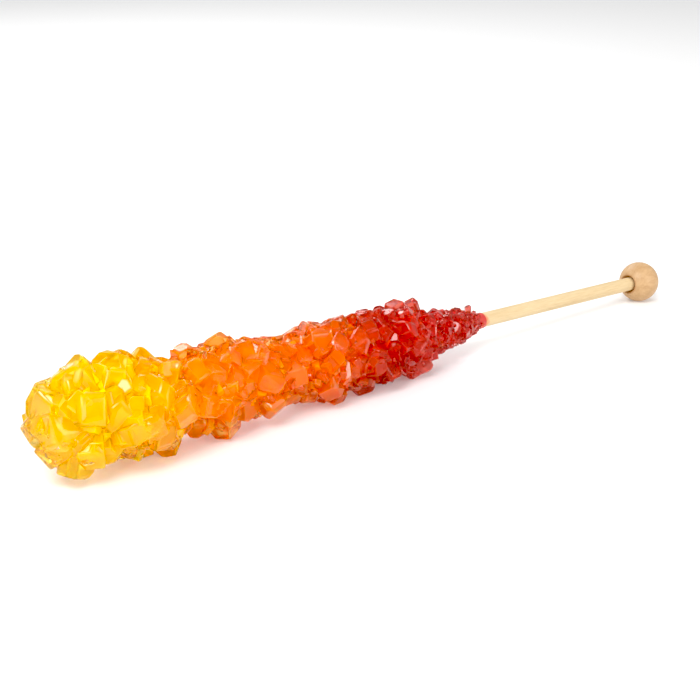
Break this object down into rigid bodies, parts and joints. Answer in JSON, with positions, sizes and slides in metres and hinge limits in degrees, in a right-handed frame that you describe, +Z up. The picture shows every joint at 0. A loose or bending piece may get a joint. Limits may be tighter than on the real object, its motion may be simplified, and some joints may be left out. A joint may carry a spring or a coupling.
{
  "type": "rock candy stick",
  "caption": "Rock candy stick lying on its side: yellow to red sugar crystals grown round a wooden dowel with a turned ball at its bare end.",
  "frame": {"origin": "middle of the whole stick's bounding box, on the table it lies on", "axes": "+X along the stick from the candy's tip to the ball, +Z up, shown side up"},
  "size_m": [0.1698, 0.021, 0.0218],
  "materials": {
    "sugar_crystal": "glossy dyed sugar crystal, translucent, yellow at the tip through orange to red at the collar",
    "dowel_wood": "bare pale birch, straight fine grain along the dowel",
    "ball_wood": "bare turned wood, a little darker than the dowel, smooth sanded"
  },
  "bodies": {
    "root": {"candy": "sugar_crystal", "dowel": "dowel_wood", "ball": "ball_wood"}
  },
  "joints": []
}
